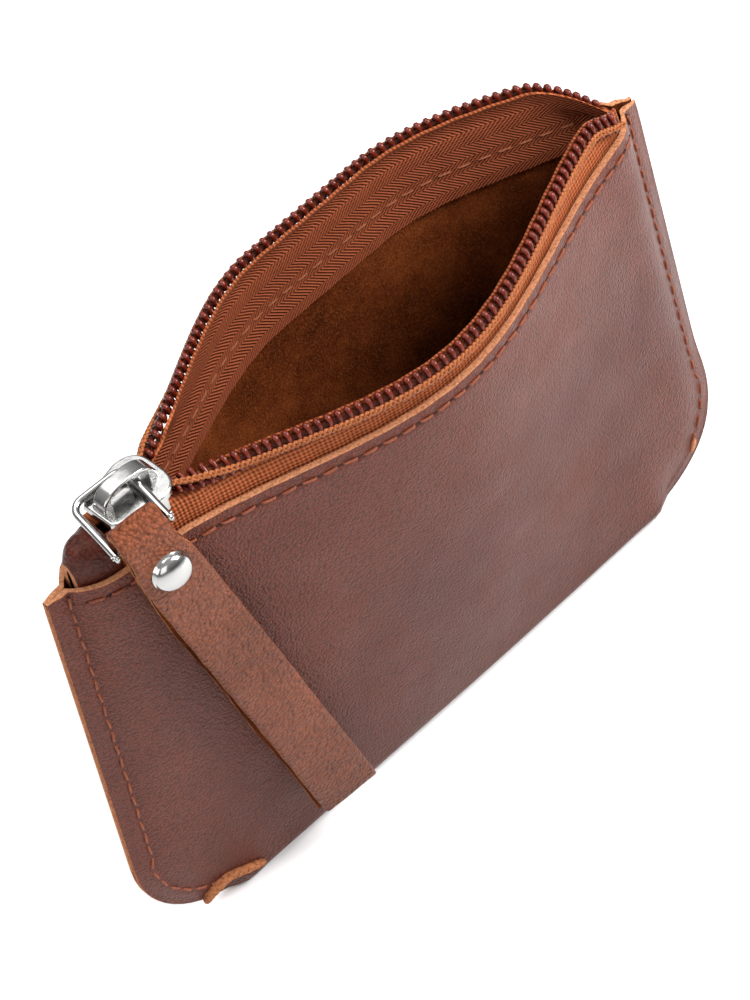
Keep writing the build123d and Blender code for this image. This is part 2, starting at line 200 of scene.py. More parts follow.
def tube(path, radii, sides):
    """Rows of points round a path; radii is one number or one per point."""
    points = [Vector(p) for p in path]
    if not isinstance(radii, list):
        radii = [radii] * len(points)
    rows, side = [], None
    for i, p in enumerate(points):
        ahead = points[min(i + 1, len(points) - 1)] - points[max(i - 1, 0)]
        ahead.normalize()
        if side is None:
            side = ahead.orthogonal().normalized()
        side = (side - ahead * side.dot(ahead)).normalized()
        other = ahead.cross(side)
        rows.append([tuple(p + (side * cos(2 * pi * k / sides) + other * sin(2 * pi * k / sides))
                           * radii[i]) for k in range(sides)])
    return rows


# ---------------------------------------------------------------- materials
class Shader:
    """Short way to write a procedural material."""

    def __init__(self, name, metallic=0.0):
        self.material = bpy.data.materials.new(name)
        self.material.use_nodes = True
        self.tree = self.material.node_tree
        self.bsdf = self.tree.nodes["Principled BSDF"]
        self.bsdf.inputs["Metallic"].default_value = metallic

    def node(self, kind, **settings):
        made = self.tree.nodes.new(kind)
        for key, value in settings.items():
            setattr(made, key, value)
        return made

    def link(self, source, target):
        self.tree.links.new(source, target)

    def put(self, target, value):
        if hasattr(value, "links"):
            self.link(value, target)
        else:
            target.default_value = value

    def tint(self, target, colour):
        self.put(target, colour if hasattr(colour, "links") else (*colour, 1))

    def rest(self):
        return self.node("ShaderNodeAttribute", attribute_name="rest").outputs["Vector"]

    def turned(self, rotation):
        made = self.node("ShaderNodeMapping")
        self.link(self.rest(), made.inputs["Vector"])
        made.inputs["Rotation"].default_value = rotation
        return made.outputs["Vector"]

    def noise(self, scale, detail=4.0, rough=0.55, vector=None):
        made = self.node("ShaderNodeTexNoise")
        self.link(vector or self.rest(), made.inputs["Vector"])
        made.inputs["Scale"].default_value = scale
        made.inputs["Detail"].default_value = detail
        made.inputs["Roughness"].default_value = rough
        return made.outputs["Fac"]

    def cells(self, scale, feature, smoothness=None):
        made = self.node("ShaderNodeTexVoronoi", feature=feature)
        self.link(self.rest(), made.inputs["Vector"])
        made.inputs["Scale"].default_value = scale
        if smoothness is not None:
            made.inputs["Smoothness"].default_value = smoothness
        return made.outputs["Distance"]

    def maths(self, kind, a, b=0.0, clamp=False):
        made = self.node("ShaderNodeMath", operation=kind, use_clamp=clamp)
        self.put(made.inputs[0], a)
        self.put(made.inputs[1], b)
        return made.outputs[0]

    def remap(self, value, low, high, to_low=0.0, to_high=1.0):
        made = self.node("ShaderNodeMapRange")
        self.put(made.inputs["Value"], value)
        made.inputs["From Min"].default_value = low
        made.inputs["From Max"].default_value = high
        made.inputs["To Min"].default_value = to_low
        made.inputs["To Max"].default_value = to_high
        return made.outputs["Result"]

    def ramp(self, value, *stops):
        made = self.node("ShaderNodeValToRGB")
        self.put(made.inputs["Fac"], value)
        ramp = made.color_ramp
        while len(ramp.elements) < len(stops):
            ramp.elements.new(0.5)
        for element, (place, colour) in zip(ramp.elements, stops):
            element.position = place
            element.color = (*colour, 1)
        return made.outputs["Color"]

    def blend(self, factor, a, b):
        made = self.node("ShaderNodeMix", data_type="RGBA", blend_type="MIX")
        self.put(made.inputs["Factor"], factor)
        self.tint(made.inputs[6], a)
        self.tint(made.inputs[7], b)
        return made.outputs[2]

    def axis(self, index):
        made = self.node("ShaderNodeSeparateXYZ")
        self.link(self.rest(), made.inputs[0])
        return made.outputs[index]

    def bump(self, height, distance):
        """Bump whose height of 1 stands for the distance in millimetres."""
        made = self.node("ShaderNodeBump")
        self.put(made.inputs["Height"], height)
        made.inputs["Distance"].default_value = distance / 1000
        made.inputs["Strength"].default_value = 1.0
        return made.outputs["Normal"]

    def done(self, colour, roughness, normal=None, **inputs):
        self.tint(self.bsdf.inputs["Base Color"], colour)
        self.put(self.bsdf.inputs["Roughness"], roughness)
        if normal:
            self.link(normal, self.bsdf.inputs["Normal"])
        for key, value in inputs.items():
            self.put(self.bsdf.inputs[key.replace("_", " ")], value)
        return self.material


def grain_leather(name, base, dark, warm, grain, depth, rough, contrast):
    """Smooth leather: cloudy colour, fine grain of small cells and a few pores."""
    s = Shader(name)
    cloud = s.noise(0.035, 5, 0.6)
    mottled = s.noise(0.35, 4, 0.6)
    colour = s.blend(s.remap(cloud, 0.35, 0.68), dark, base)
    colour = s.blend(s.maths("MULTIPLY", s.remap(mottled, 0.45, 0.7), 0.35), colour, warm)
    # the leather is made redder and darker towards the mouth
    mouth = s.maths("MULTIPLY", s.remap(s.axis(2), 52, 80), 0.55, clamp=True)
    colour = s.blend(mouth, colour, warm)
    cells = s.cells(grain, "SMOOTH_F1", smoothness=0.25)
    pores = s.cells(grain * 0.45, "F1")
    fine = s.noise(grain * 1.7, 3, 0.6)
    height = s.maths("ADD", s.maths("MULTIPLY", cells, -0.6), s.maths("MULTIPLY", fine, 0.5))
    pits = s.remap(pores, 0.0, 0.28, -0.5, 0.0)
    height = s.maths("ADD", height, pits)
    # painted shade: the pores are painted darker, as shade falls in them
    colour = s.blend(s.maths("MULTIPLY", s.remap(pores, 0.22, 0.02), 0.35, clamp=True),
                     colour, tuple(c * 0.45 for c in dark))
    # painted shade: the grain's hollows are painted darker, as shade falls in them
    speck = s.maths("ADD", s.maths("MULTIPLY", cells, 0.9), s.noise(grain * 1.1, 3, 0.7))
    shade = s.remap(speck, 0.42, 1.25, 1.0, 0.0)
    colour = s.blend(s.maths("MULTIPLY", s.remap(shade, 0.62, 0.15), contrast, clamp=True),
                     colour, tuple(c * 0.55 for c in dark))
    roughness = s.remap(s.noise(0.12, 3), 0.3, 0.7, rough - 0.05, rough + 0.06)
    # painted shade: the underside of the fold is painted darker and redder, as it lies in shade
    low = s.maths("MULTIPLY", s.remap(s.axis(2), 4.6, 1.6), 0.8, clamp=True)
    colour = s.blend(low, colour, tuple(c * 0.5 for c in warm))
    return s.done(colour, roughness, s.bump(height, depth), Specular_IOR_Level=0.19)


def edge_leather(name, light, dark):
    s = Shader(name)
    fibres = s.noise(2.2, 5, 0.65)
    colour = s.ramp(s.remap(fibres, 0.3, 0.72), (0, dark), (0.55, light),
                    (1, tuple(min(c * 1.25, 1) for c in light)))
    return s.done(colour, 0.85, s.bump(fibres, 0.25), Specular_IOR_Level=0.15)


def suede(name):
    s = Shader(name)
    cloud = s.noise(0.09, 6, 0.62)
    nap = s.noise(3.2, 6, 0.7)
    colour = s.ramp(s.remap(cloud, 0.32, 0.68), (0, (0.045, 0.009, 0.0018)),
                    (0.5, (0.095, 0.02, 0.0042)), (1, (0.17, 0.041, 0.0095)))
    colour = s.blend(s.remap(nap, 0.5, 0.68, 0.0, 0.6), colour, (0.26, 0.075, 0.02))
    colour = s.blend(s.remap(nap, 0.48, 0.34, 0.0, 0.7), colour, (0.035, 0.007, 0.0015))
    height = s.maths("ADD", nap, s.maths("MULTIPLY", s.noise(0.8, 4), 0.8))
    return s.done(colour, 0.95, s.bump(height, 0.34), Specular_IOR_Level=0.04)


def woven(name, light, dark, kind):
    """Zip tape: herringbone bands on one face, a fine grid of warp and weft on the other."""
    s = Shader(name)
    along, down = s.axis(0), s.axis(2)
    if kind == "herringbone":
        band = s.maths("PINGPONG", s.maths("ADD", down, 0.5), 2.2)
        lean = s.maths("MULTIPLY", band, 1.15)
        wave = s.maths("SINE", s.maths("MULTIPLY", s.maths("ADD", along, lean), 2 * pi / 0.66))
        fine = s.maths("SINE", s.maths("MULTIPLY", down, 2 * pi / 0.42))
        height = s.maths("ADD", s.maths("MULTIPLY", wave, 0.42), s.maths("MULTIPLY", fine, 0.12))
    else:
        warp = s.maths("SINE", s.maths("MULTIPLY", along, 2 * pi / 0.62))
        weft = s.maths("SINE", s.maths("MULTIPLY", down, 2 * pi / 0.62))
        height = s.maths("ADD", s.maths("MULTIPLY", warp, 0.3), s.maths("MULTIPLY", weft, 0.34))
    height = s.maths("ADD", height, s.maths("MULTIPLY", s.noise(1.6, 3), 0.4))
    level = s.remap(height, -0.35, 0.85)
    colour = s.ramp(level, (0, dark), (0.6, light), (1, tuple(c * 1.3 for c in light)))
    return s.done(colour, 0.75, s.bump(height, 0.2), Specular_IOR_Level=0.12)


def nylon(name, deep, lit):
    s = Shader(name)
    colour = s.blend(s.remap(s.noise(0.6, 2), 0.35, 0.65), deep, lit)
    return s.done(colour, 0.24, Specular_IOR_Level=0.35)


def twisted_thread(name, light, dark):
    s = Shader(name)
    ply = s.noise(5.0, 3, 0.6, s.turned((0.0, 0.6, 0.5)))
    colour = s.ramp(s.remap(ply, 0.3, 0.7), (0, dark), (1, light))
    return s.done(colour, 0.6, s.bump(ply, 0.12), Specular_IOR_Level=0.2)


def nickel(name):
    s = Shader(name, metallic=1.0)
    wear = s.noise(900.0, 4, 0.6, s.node("ShaderNodeTexCoord").outputs["Object"])
    rough = s.remap(wear, 0.3, 0.7, 0.12, 0.24)
    return s.done((0.43, 0.425, 0.415), rough, s.bump(wear, 0.008))


body_skin = grain_leather("pouch_leather", (0.138, 0.0345, 0.0205), (0.084, 0.0185, 0.0105),
                          (0.143, 0.0285, 0.0115), 2.3, 0.26, 0.43, 0.7)
strap_skin = grain_leather("strap_leather", (0.245, 0.066, 0.028), (0.125, 0.031, 0.012),
                           (0.27, 0.077, 0.032), 1.6, 1.0, 0.38, 0.5)
tab_skin = grain_leather("tab_leather", (0.085, 0.014, 0.006), (0.048, 0.0075, 0.0035),
                         (0.085, 0.015, 0.006), 1.9, 0.22, 0.36, 0.7)
raw_edge = edge_leather("raw_edge", (0.47, 0.205, 0.1), (0.2, 0.066, 0.027))
strap_edge = edge_leather("strap_edge", (0.34, 0.125, 0.05), (0.12, 0.034, 0.013))
strip_edge = edge_leather("strip_edge", (0.34, 0.125, 0.052), (0.12, 0.036, 0.014))
flesh = suede("flesh_side")
tape_in = woven("tape_inside", (0.26, 0.064, 0.025), (0.06, 0.011, 0.004), "herringbone")
tape_out = woven("tape_outside", (0.345, 0.09, 0.031), (0.11, 0.025, 0.008), "grid")
coil_nylon = nylon("coil_nylon", (0.08, 0.007, 0.0025), (0.13, 0.015, 0.005))
lip_thread = twisted_thread("stitch_thread", (0.32, 0.092, 0.044), (0.12, 0.03, 0.014))
braid_thread = twisted_thread("braid_thread", (0.45, 0.14, 0.045), (0.15, 0.04, 0.012))
cord_thread = twisted_thread("cord_thread", (0.1, 0.02, 0.008), (0.045, 0.009, 0.004))
inner_thread = twisted_thread("tape_thread", (0.3, 0.1, 0.045), (0.13, 0.04, 0.016))
# painted shade: the needle holes' insides are painted near black, as shade falls in them
hole_shade = Shader("stitch_hole_shade").done((0.03, 0.01, 0.006), 0.9)
metal = nickel("nickel_plate")


# ---------------------------------------------------------------- shape of the pouch
def half_width(z):
    return mix(WIDTH, MOUTH_WIDTH, z / HEIGHT) / 2


def share(x, side):
    if x < FULL_FROM[side]:
        return smooth((x - OPEN_FROM[side]) / (FULL_FROM[side] - OPEN_FROM[side]))
    if x > FULL_TO[side]:
        return smooth((OPEN_TO[side] - x) / (OPEN_TO[side] - FULL_TO[side]))
    return 1.0


def edge_distance(x, z):
    """Distance in from the sewn side edge, which runs round the bottom corners."""
    plain = half_width(z) - abs(x)
    corner_x, corner_z = half_width(z) - CORNER, CORNER
    if z >= corner_z or abs(x) <= corner_x - 2:
        return plain
    round_in = CORNER - hypot(max(abs(x) - corner_x, 0), corner_z - z)
    return mix(plain, min(round_in, plain), smooth((abs(x) - corner_x + 2) / 8))


def skived(x, z):
    """How thick the leather is at a place, as a share: it is pressed thin at the sewn edges."""
    return mix(EDGE_THIN, 1.0, smooth(edge_distance(x, z) / 3.2))


def flange_back(x, z):
    """The right side's sewn edge is bent back."""
    if x < 0:
        return 0.0
    t = min(max((8.0 - edge_distance(x, z)) / 8.0, 0.0), 1.0)
    return mix(FLANGE_BEND_LOW, FLANGE_BEND_TOP, z / HEIGHT) * t * t * smooth((z - 4) / 22)


def closed_gap(x, z, side):
    spread = SPREAD_FAR_END if side == FRONT and x > FULL_TO[side] else SPREAD_SLIDER_END
    lip = LIP_GAP + spread * (1 - share(x, side))
    rise = mix(RISE_LOW, RISE_TOP if x < 0 else RISE_FAR, z / HEIGHT)
    inside = max(edge_distance(x, z) - FLANGE, 0.0)
    edge = LEATHER / 2 * skived(x, z)
    return mix(edge, mix(FOLD_HALF, lip, z / HEIGHT), 1 - exp(-inside / rise))


def wall_y(x, z, side, depth=0.0):
    low = min(z, HEIGHT)
    belly = BELLY * sin(pi * low / HEIGHT) * share(x, side)
    return side * (closed_gap(x, low, side) + depth * skived(x, low) + belly
                   + OPENING[side] * share(x, side) * z / HEIGHT) + flange_back(x, low)


FOLD_ROWS = 7
levels = [2.975, 4.5, 6.5, 9, 12, 15.5, 19.5, 24, 29, 34, 39, 44, 49, 54, 59, 63.5, 67.5, 71,
          73.5, 75.2, 76.2, 76.75, 77.1, 77.35, 77.6, 77.85, 78.1, 78.45, 78.9, 79.35, 79.7]


def column_foot(x0):
    over = abs(x0) - (WIDTH / 2 - CORNER)
    if over <= 0:
        return 0.0
    return CORNER - sqrt(max(CORNER ** 2 - over ** 2, 0.0))


def groove(x, z, foot):
    """How much the thread pulls the leather in along the stitch lines."""
    d = abs(z - LIP_STITCH_LEVEL)
    sunk = 0.16 * exp(-(d / 0.45) ** 2) if abs(x) < half_width(z) - 2 else 0.0
    d = abs(edge_distance(x, z) - SEAM_STITCH_IN)
    if z > foot:
        sunk = max(sunk, 0.14 * exp(-(d / 0.5) ** 2))
    return sunk


def wall_rows():
    """Fractions up the wall: the rows of the rounded fold, then those above it."""
    rows = [("fold", i / FOLD_ROWS) for i in range(FOLD_ROWS)]
    return rows + [("wall", z) for z in levels]


def wall_point(x0, row, side, out):
    """A point of the wall; out is 1 on the grain face and 0 on the flesh face."""
    kind, t = row
    depth = LEATHER * (out - 0.5)
    if kind == "wall" and out > 0.5:
        depth *= mix(1.0, LIP_THIN, smooth((t - 76.0) / 4.0))
    base = levels[0]
    level = base * (1 - cos(t * pi / 2)) if kind == "fold" else t
    foot = column_foot(x0)
    folded = 1 - smooth((abs(x0) - 39) / 7)
    z = foot + level * (HEIGHT - foot) / HEIGHT
    x = x0 * half_width(z) / half_width(0)
    y = wall_y(x, z, side, depth)
    if out > 0.5:
        y -= side * groove(x, z, foot)
    # the right top corner is worn round
    z -= CORNER_WORN * smooth((x - 54.2) / 3.2) * smooth((z - 72) / 8)
    if kind == "fold":
        reach = FOLD_HALF + depth
        angle = t * pi / 2
        opened = wall_y(x, z, side) - side * closed_gap(x, z, side)
        round_y = side * reach * sin(angle) + opened
        round_z = base - reach * cos(angle)
        y = mix(y, round_y, folded)
        z = mix(z, round_z, folded)
    return (x, y, z)


def columns(side, low_half):
    """Places across the wall, closer together round the corners and at the seams."""
    arc = [WIDTH / 2 - CORNER + CORNER * sin(radians(a))
           for a in (3, 7, 11, 16, 21, 26, 32, 38, 44, 50, 56, 62, 67, 71, 74.5, 77.5, 80,
                     82.5, 85.5, 90)]
    edge = [56.3, 56.7, 57.0, 57.3, 57.7]
    half = sorted(arc + edge)
    middle = span(-41, 41, 48)
    every = sorted([-x for x in half] + middle + half + [SPLIT[side]])
    kept = [every[0]]
    for x in every[1:]:
        if x - kept[-1] > 0.12:
            kept.append(x)
    split = min(kept, key=lambda x: abs(x - SPLIT[side]))
    kept[kept.index(split)] = SPLIT[side]
    if low_half:
        return [x for x in kept if x <= SPLIT[side]]
    return [x for x in kept if x >= SPLIT[side]]


def wall_normal(x0, row, side, out):
    """Normal of the wall at a point, from its neighbours in the surface."""
    kind, t = row
    step = 0.25
    left = Vector(wall_point(max(x0 - step, -60), row, side, out))
    right = Vector(wall_point(min(x0 + step, 60), row, side, out))
    if kind == "fold":
        low, high = ("fold", max(t - 0.04, 0)), ("fold", min(t + 0.04, 1))
    else:
        low, high = ("wall", max(t - 0.2, levels[0])), ("wall", min(t + 0.2, HEIGHT))
    up = Vector(wall_point(x0, high, side, out)) - Vector(wall_point(x0, low, side, out))
    normal = (right - left).cross(up)
    if normal.length < 1e-9:
        return Vector((0, side, 0))
    normal.normalize()
    return normal if (side == FRONT) == (out > 0.5) else -normal


EDGE_STEPS = (0.0, 0.15, 0.5, 0.85, 1.0)
EDGE_BULGE = 0.12
CUT_FROM = 44.0


def from_corner(x, z):
    """Way out from the middle of the rounded bottom corner, as a normal and in x and z."""
    corner_x = (WIDTH / 2 - CORNER) * (1 if x > 0 else -1)
    away = Vector((x - corner_x, 0, z - CORNER)).normalized()
    return away, (away.x, away.z)


def edge_row(verts, normals, a, b, outward):
    """Adds the points across a cut edge, from point a to point b, which bulges a little."""
    for t in EDGE_STEPS:
        x, y, z = lerp(verts[a], verts[b], t)
        away, push = outward(x, z)
        bulge = EDGE_BULGE * sin(pi * t)
        hand = Vector(normals[a]) * (1 - t) + Vector(normals[b]) * t
        lean = sin(pi * min(max(t * 1.2 - 0.1, 0), 1))
        verts.append((x + push[0] * bulge, y, z + push[1] * bulge))
        normals.append((hand * (1 - lean) + away * (lean + 0.05)).normalized())


def leather_wall(side, low_half, name):
    xs = columns(side, low_half)
    rows = wall_rows()
    cross = []
    # each column runs from the fold up the grain face, over the lip and down the flesh face
    for x0 in xs:
        outer = [(wall_point(x0, r, side, 1), wall_normal(x0, r, side, 1)) for r in rows]
        inner = [(wall_point(x0, r, side, 0), wall_normal(x0, r, side, 0)) for r in rows]
        top = ("wall", HEIGHT)
        out_normal, in_normal = wall_normal(x0, top, side, 1), wall_normal(x0, top, side, 0)
        ragged = 0.1 * sin(x0 * 1.9) * sin(x0 * 0.73 + 1)
        lip = []
        for out, drop, lean in ((0.98, 0.12, 0.5), (0.86, 0.0, 0.85), (0.5, -0.04, 1.0),
                                (0.14, 0.0, 0.85), (0.02, 0.14, 0.5)):
            x, y, z = wall_point(x0, top, side, out)
            face = out_normal if out > 0.5 else in_normal
            normal = (face * (1 - lean) + Vector((0, 0, 1)) * lean).normalized()
            lip.append(((x, y, z - drop + ragged * (0.3 + 0.7 * lean)), normal))
        cross.append(outer + lip + inner[::-1])
    n = len(cross[0])
    n_outer = len(rows)
    verts = [p for column in cross for p, _ in column]
    normals = [q for column in cross for _, q in column]
    faces, kinds = [], []
    for i in range(len(xs) - 1):
        for j in range(n - 1):
            a, b = i * n + j, (i + 1) * n + j
            quad = (a, b, b + 1, a + 1) if side == FRONT else (a, a + 1, b + 1, b)
            faces.append(quad)
            kinds.append(0 if j < n_outer else 1 if j < n_outer + 4 else 2)
    # raw edge down the side and round the corner
    sign = -1 if low_half else 1
    column = 0 if low_half else len(xs) - 1
    base = len(verts)
    for j in range(n_outer):
        edge_row(verts, normals, column * n + j, column * n + n - 1 - j,
                 lambda x, z: (Vector((sign, 0, -0.15)), (sign, 0)))
    for j in range(n_outer - 1):
        for k in range(len(EDGE_STEPS) - 1):
            a = base + j * len(EDGE_STEPS) + k
            quad = (a, a + 1, a + len(EDGE_STEPS) + 1, a + len(EDGE_STEPS))
            faces.append(quad[::-1] if (side == FRONT) == low_half else quad)
            kinds.append(3 if side == FRONT else 1)
    # raw edge under the corner, where the two walls are cut and not folded
    for i in range(len(xs) - 1):
        if min(abs(xs[i]), abs(xs[i + 1])) < CUT_FROM:
            continue
        base = len(verts)
        for column in (i, i + 1):
            edge_row(verts, normals, column * n, column * n + n - 1, from_corner)
        for k in range(len(EDGE_STEPS) - 1):
            quad = (base + k, base + k + 1, base + k + len(EDGE_STEPS) + 1,
                    base + k + len(EDGE_STEPS))
            faces.append(quad if side == FRONT else quad[::-1])
            kinds.append(3)
    return build(name, verts, faces, [body_skin, raw_edge, flesh, strap_edge], kinds,
                 [tuple(q) for q in normals])


def bend(piece):
    """Bakes the piece's placement into its mesh."""
    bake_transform(piece)


def register(piece, node):
    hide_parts(node)
    bend(piece)


for side, low_half in PARTS:
    wall = leather_wall(side, low_half, f"leather_{WORDS[side]}_{ENDS[low_half]}")
    register(wall, "leather_body")


# ---------------------------------------------------------------- zip tapes
SLIDER_PLATE, COIL_HEIGHT = 1.1, 1.9
CHANNEL = box_mm("slider_body")[1][2] - SLIDER_PLATE - COIL_HEIGHT    # tape's height in the slider
TAPE_TOP = 86.1
CHAIN_TOP = 87.0
REST_GAP = 2.3
CHAIN_LEFT = -45.0
CHAIN_RIGHT = {FRONT: 51.5, BACK: 53.0}
FLAT_TO, FLAT_OVER = -23.0, 15.0            # x where the chain starts to lie flat, and how soon
CURL_FROM = 44.5
HEM_DOWN, HEM_BEND = 7.5, 3.5               # hem and first bend, below the lip
TAPE_LEAN, FLAT_LEAN = 9, 88                # degrees that the tape's end leans in
END_IN = {FRONT: -0.9, BACK: 3.6}
END_DOWN = {FRONT: 2.6, BACK: 6.6}


def curl(x, side):
    """How far the chain's end has bent into the pouch."""
    if side == FRONT:
        return smooth((x - CURL_FROM) / 7.0)
    return (max(x - CURL_FROM, 0.0) / 8.5) ** 1.8


def chain_share(x):
    """1 where the chain lies flat inside the slider, 0 where it stands on the lip."""
    return smooth((FLAT_TO - x) / FLAT_OVER)


def tape_line(x, side):
    """Middle line of the tape at x, from its hem inside the pouch to the coil's edge."""
    hem, low = ((side * wall_y(x, HEIGHT - down, side, -SEWN), HEIGHT - down)
                for down in (HEM_DOWN, HEM_BEND))
    lip = (side * wall_y(x, HEIGHT, side, -SEWN), HEIGHT - 0.3)
    moved = OPENING[side] * share(x, side)
    rest = REST_GAP * smooth((x - 20) / 25) if side == BACK else 0.0
    closed = abs(closed_gap(x, HEIGHT, side)) - SEWN
    reach = (TAPE_TOP - HEIGHT) / (CHAIN_TOP - HEIGHT)
    stand = mix(closed, rest + 0.25, reach) + moved * TAPE_TOP / HEIGHT
    flat = chain_share(x)
    end = (mix(stand, 1.15, smooth((-32.5 - x) / 5.5)), mix(TAPE_TOP, CHANNEL, flat))
    # end direction: up and leaning in beside the lip, level inside the slider
    lean = mix(radians(TAPE_LEAN), radians(FLAT_LEAN), flat)
    back = mix(2.4, 2.6, flat)
    before = (end[0] + sin(lean) * back, end[1] - cos(lean) * back)
    over = (lip[0], mix(lip[1] + 2.6, CHANNEL - 1.0, flat))
    points = [hem, low, lip]
    for t in (0.2, 0.4, 0.6, 0.8, 1.0):
        points.append(lerp(lerp(lip, over, t), lerp(over, before, t), t))
    points += [lerp(before, end, 0.5), end]
    # the far end bends in and down, more at the back than at the front
    sunk = curl(x, side)
    bent = []
    for i, (y, z) in enumerate(points):
        up = smooth(i / (len(points) - 1) * 1.6 - 0.3)
        bent.append((y - END_IN[side] * sunk * up, z - END_DOWN[side] * sunk * up))
    return bent


def offset_line(points, distance):
    """The line moved sideways, outward for positive distances."""
    out = []
    for i, (y, z) in enumerate(points):
        ahead, behind = points[min(i + 1, len(points) - 1)], points[max(i - 1, 0)]
        dy, dz = unit(ahead[0] - behind[0], ahead[1] - behind[1])
        out.append((y + dz * distance, z - dy * distance))
    return out


def tape_mesh(side, low_half, name):
    left, right = (-46.0, SPLIT[side]) if low_half else (SPLIT[side], CHAIN_RIGHT[side] + 0.2)
    xs = span(left, right, 60)
    front_rows, back_rows = [], []
    for x in xs:
        line = tape_line(x, side)
        waver = 0.05 * sin(x * 1.3)
        outer = offset_line(line, TAPE / 2 + waver)
        inner = offset_line(line, -TAPE / 2 + waver)
        front_rows.append([(x, side * y, z) for y, z in outer])
        back_rows.append([(x, side * y, z) for y, z in inner])
    mesh = Mesher()
    order = 1 if side == FRONT else -1
    mesh.rows([row[::order] for row in front_rows[::-1]], 0)
    mesh.rows([row[::order] for row in back_rows], 1)
    mesh.rim(front_rows, back_rows, 0, order)
    piece = mesh.make(name, [tape_out, tape_in])
    length = sum((Vector(a[4]) - Vector(b[4])).length for a, b in zip(front_rows, front_rows[1:]))
    width = sum(hypot(a[0] - b[0], a[1] - b[1])
                for line in [tape_line((left + right) / 2, side)] for a, b in zip(line, line[1:]))
    return piece, width / 1000, length / 1000


for side, low_half in PARTS:
    piece, width, length = tape_mesh(side, low_half, f"tape_{WORDS[side]}_{ENDS[low_half]}")
    register(piece, f"{WORDS[side]}_tape")


# ---------------------------------------------------------------- coils and braids
def chain_frame(x, side):
    """End of the tape, the way along it to the tips, and the way out of its outer face."""
    line = tape_line(x, side)
    (y0, z0), (y1, z1) = line[-2], line[-1]
    dy, dz = unit(y1 - y0, z1 - z0)
    return Vector((x, side * y1, z1)), Vector((0, side * dy, dz)), Vector((0, side * dz, -dy))


def chain_stations(side):
    """Evenly spaced places along the chain, a tenth of a millimetre apart."""
    places, travelled, x = [], 0.0, CHAIN_LEFT
    previous = chain_frame(x, side)[0]
    while x <= CHAIN_RIGHT[side]:
        point = chain_frame(x, side)[0]
        travelled += (point - previous).length
        places.append((travelled, x))
        previous = point
        x += 0.1
    return places


def at_length(places, s):
    low, high = 0, len(places) - 1
    while high - low > 1:
        mid = (low + high) // 2
        if places[mid][0] < s:
            low = mid
        else:
            high = mid
    return places[low][1]


def chain_point(places, s, side, along, out):
    """A point beside the tape's end: along towards the tips, out of its outer face."""
    x = at_length(places, s)
    point, up, normal = chain_frame(x, side)
    return tuple(point + up * along + normal * (TAPE / 2 + out))


# each pair is along the tape, towards the tips, and out of its outer face
LOOP_MIDDLE, LOOP_HALF = (-0.9, 1.02), (1.38, 0.58)
BRAID_AT, CORD_AT = (-1.2, 1.98), (-0.85, 1.0)
COIL_WIRE, COIL_HEAD = 0.34, 0.15           # radius, and how much fatter the head is
BRAID_WIRE, CORD_WIRE, CORD_STEP = 0.25, 0.42, 0.6


def coil_and_braid(side):
    places = chain_stations(side)
    total = places[-1][0]
    loops = int(total / PITCH)
    parts = {True: (Mesher(), Mesher()), False: (Mesher(), Mesher())}
    for k in range(loops):
        s0 = (k + 0.1) * PITCH
        low_half = at_length(places, s0) < SPLIT[side]
        coil, braid = parts[low_half]
        path, radii = [], []
        steps = 22
        for i in range(steps + 1):
            a = 2 * pi * i / steps
            # square-ish loop, with its root on the tape and its head at the tips
            w, n = -cos(a), sin(a)
            w = (abs(w) ** 0.7) * (1 if w > 0 else -1)
            n = (abs(n) ** 0.75) * (1 if n > 0 else -1)
            head = exp(-((a - pi) / 0.55) ** 2)
            advance = PITCH * (smooth(i / steps * 3 - 2) * 0.9 + 0.1 * i / steps)
            path.append(chain_point(places, s0 + advance, side,
                                    LOOP_MIDDLE[0] + LOOP_HALF[0] * w,
                                    LOOP_MIDDLE[1] + LOOP_HALF[1] * n))
            radii.append(COIL_WIRE + COIL_HEAD * head)
        coil.rows(tube(path, radii, 7), closed=True)
        # two threads that chain over the coil's outer face
        for phase in (0.0, 1.0):
            path = []
            for i in range(9):
                t = i / 8
                swing = 0.36 * sin(2 * pi * t + phase * pi)
                lift = 0.1 * cos(2 * pi * t + phase * pi)
                path.append(chain_point(places, s0 + t * PITCH, side,
                                        BRAID_AT[0] + swing, BRAID_AT[1] + lift))
            braid.rows(tube(path, BRAID_WIRE, 6), closed=True)
    # the cord that fills the coil
    for low_half in (True, False):
        inside = [0.2 + CORD_STEP * i for i in range(int((total - 0.4) / CORD_STEP))]
        inside = [s for s in inside if (at_length(places, s) <= SPLIT[side] + 0.35) == low_half
                  or abs(at_length(places, s) - SPLIT[side]) < 0.35]
        path = [chain_point(places, s, side, *CORD_AT) for s in inside]
        parts[low_half][1].rows(tube(path, CORD_WIRE, 8), 1, closed=True, caps=True)
    word = WORDS[side]
    for low_half, end in ENDS.items():
        coil, braid = parts[low_half]
        register(coil.make(f"coil_{word}_{end}", [coil_nylon]), f"{word}_coil")
        register(braid.make(f"braid_{word}_{end}", [braid_thread, cord_thread]),
                 f"{word}_chain_braid")


coil_and_braid(FRONT)
coil_and_braid(BACK)


